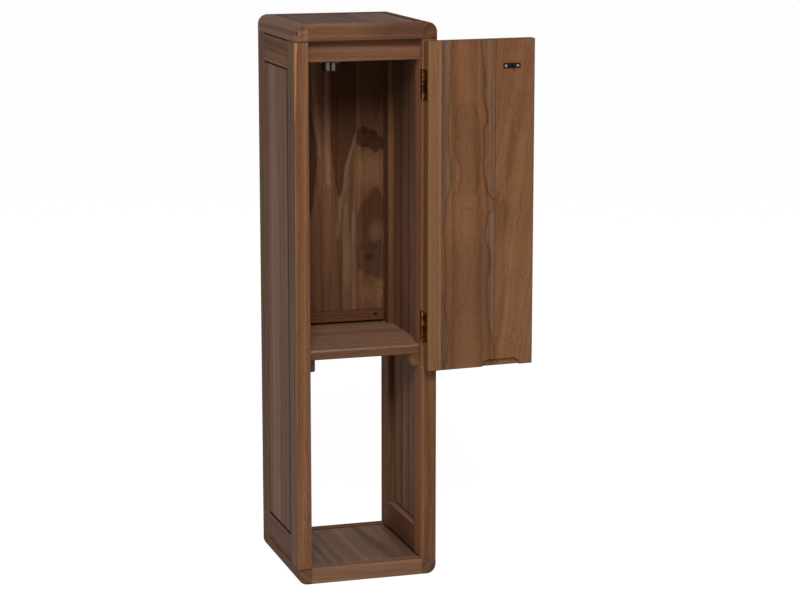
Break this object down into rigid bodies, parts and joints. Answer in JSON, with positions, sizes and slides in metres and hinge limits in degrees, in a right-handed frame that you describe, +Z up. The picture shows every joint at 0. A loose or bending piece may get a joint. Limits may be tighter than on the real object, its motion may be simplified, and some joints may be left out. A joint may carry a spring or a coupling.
{
  "type": "bathroom cabinet",
  "caption": "Tall narrow solid-wood bathroom cabinet: framed sides, rounded top and base, open bay below, cupboard above with a side-hung door on brass hinges and a roller catch.",
  "frame": {"origin": "on the floor, at the centre of the carcass without its door", "axes": "+Z up, -Y out of the front, +X towards the hinge side, which is the viewer's right"},
  "size_m": [0.5233, 0.3431, 1.2],
  "materials": {
    "front_wood": "oiled, satin",
    "side_wood": "oiled, satin",
    "inner_wood": "oiled, satin",
    "light_wood": "oiled, satin",
    "dowel_wood": "raw",
    "brass": "satin",
    "black_steel": "satin black",
    "bright_steel": "zinc plated",
    "roller_plastic": "matt"
  },
  "bodies": {
    "cabinet": {"top_left_corner_rail": "side_wood", "top_right_corner_rail": "side_wood", "top_front_rail": "front_wood", "top_back_rail": "front_wood", "top_left_board": "side_wood", "top_middle_board": "side_wood", "top_right_board": "side_wood", "base_left_corner_rail": "side_wood", "base_right_corner_rail": "side_wood", "base_front_rail": "front_wood", "base_back_rail": "front_wood", "base_left_board": "side_wood", "base_middle_board": "side_wood", "base_right_board": "side_wood", "left_front_stile": "front_wood", "left_back_stile": "side_wood", "left_top_rail": "side_wood", "left_bottom_rail": "side_wood", "left_front_board": "side_wood", "left_back_board": "side_wood", "right_front_stile": "front_wood", "right_back_stile": "side_wood", "right_top_rail": "side_wood", "right_bottom_rail": "side_wood", "right_front_board": "side_wood", "right_back_board": "side_wood", "head_rail": "front_wood", "back_board_1": "inner_wood", "back_board_2": "inner_wood", "back_board_3": "inner_wood", "back_board_4": "inner_wood", "upper_hanging_rail": "inner_wood", "lower_hanging_rail": "inner_wood", "shelf_front_board": "inner_wood", "shelf_back_board": "inner_wood", "left_cleat": "inner_wood", "right_cleat": "inner_wood", "cleat_screws": "bright_steel", "dowels": "dowel_wood", "upper_hinge_frame_leaf": "brass", "lower_hinge_frame_leaf": "brass", "hinge_pins": "brass", "frame_hinge_screws": "brass", "catch_housing": "black_steel", "catch_screws": "bright_steel", "catch_left_spring": "bright_steel", "catch_right_spring": "bright_steel"},
    "door": {"door_hinge_board": "light_wood", "door_middle_board": "front_wood", "door_free_board": "front_wood", "upper_hinge_door_leaf": "brass", "lower_hinge_door_leaf": "brass", "door_hinge_screws": "brass", "strike_plate": "black_steel", "strike_screws": "bright_steel"},
    "left_carriage": {"catch_left_carriage": "bright_steel"},
    "right_carriage": {"catch_right_carriage": "bright_steel"},
    "left_roller": {"catch_left_roller": "roller_plastic"},
    "right_roller": {"catch_right_roller": "roller_plastic"}
  },
  "joints": [
    {"name": "door_hinge", "type": "hinge", "parent": "cabinet", "child": "door", "pos_m": [0.12275, -0.1585, 0.8105], "axis": [0, 0, 1], "range_deg": [-184, 6]},
    {"name": "left_roller_give", "type": "slide", "parent": "cabinet", "child": "left_carriage", "axis": [-1, 0, 0], "range_m": [0, 0.002], "stiffness_N_per_m": 800, "springref_m": -0.002, "deforming": ["catch_left_spring"]},
    {"name": "left_roller_spin", "type": "hinge", "parent": "left_carriage", "child": "left_roller", "pos_m": [-0.0748, -0.1245, 1.10735], "axis": [0, 0, 1], "continuous": true},
    {"name": "right_roller_give", "type": "slide", "parent": "cabinet", "child": "right_carriage", "axis": [1, 0, 0], "range_m": [0, 0.002], "stiffness_N_per_m": 800, "springref_m": -0.002, "deforming": ["catch_right_spring"]},
    {"name": "right_roller_spin", "type": "hinge", "parent": "right_carriage", "child": "right_roller", "pos_m": [-0.0624, -0.1245, 1.10735], "axis": [0, 0, 1], "continuous": true}
  ]
}
